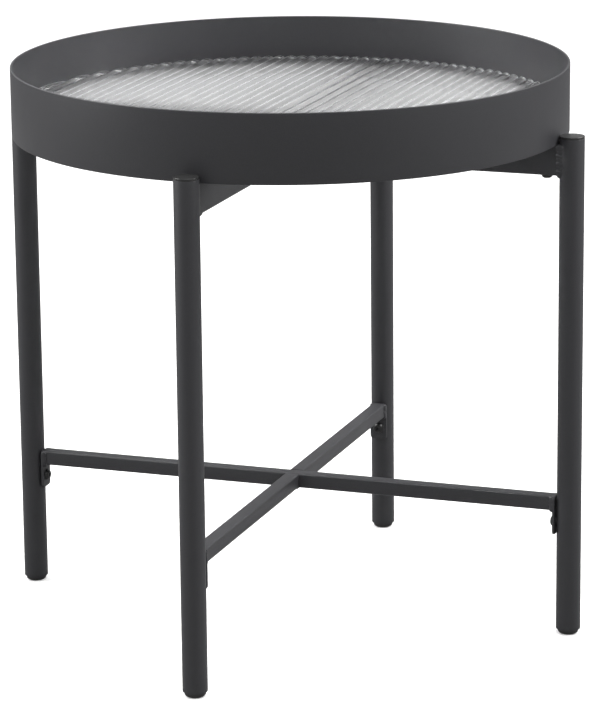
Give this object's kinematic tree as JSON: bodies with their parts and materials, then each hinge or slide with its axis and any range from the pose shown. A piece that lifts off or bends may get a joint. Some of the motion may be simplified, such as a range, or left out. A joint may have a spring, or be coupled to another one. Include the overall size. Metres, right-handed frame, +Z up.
{
  "type": "side table",
  "caption": "Round side table: deep steel hoop tray with a lift-out reeded glass top on crossed tube leg frames that unscrew for packing.",
  "frame": {"origin": "on the floor, under the middle of the table", "axes": "+Z up; one pair of legs stands on the X axis and the other pair on the Y axis, and the glass's ribs run along Y"},
  "size_m": [0.4906, 0.4906, 0.46],
  "materials": {
    "powder_coat": "fine satin anthracite powder coat",
    "reeded_glass": "clear reeded glass, polished ribs up, satin back",
    "soft_pad": "clear silicone, matt",
    "cap_plastic": "fine-textured moulded plastic",
    "foot_plastic": "smooth moulded plastic",
    "black_screw": "black-passivated steel, satin",
    "zinc": "zinc-plated"
  },
  "bodies": {
    "frame": {"hoop": "powder_coat", "ledge_ring": "powder_coat", "tray_bosses": "powder_coat", "glass_pads": "soft_pad", "leg_right": "powder_coat", "leg_back": "powder_coat", "leg_left": "powder_coat", "leg_front": "powder_coat", "leg_cap_right": "cap_plastic", "leg_cap_back": "cap_plastic", "leg_cap_left": "cap_plastic", "leg_cap_front": "cap_plastic", "foot_right": "foot_plastic", "foot_back": "foot_plastic", "foot_left": "foot_plastic", "foot_front": "foot_plastic", "top_bar_x": "powder_coat", "top_bar_y": "powder_coat", "low_bar_x": "powder_coat", "low_bar_y": "powder_coat", "end_plate_right": "powder_coat", "end_plate_back": "powder_coat", "end_plate_left": "powder_coat", "end_plate_front": "powder_coat", "plate_screws": "black_screw", "rivet_nuts": "powder_coat", "tray_screws": "black_screw", "centre_screw": "black_screw", "centre_nut": "zinc"},
    "glass": {"glass_top": "reeded_glass"}
  },
  "joints": [
    {"name": "glass_lift", "type": "slide", "parent": "frame", "child": "glass", "axis": [0, 0, 1], "range_m": [0, 0.09]}
  ]
}
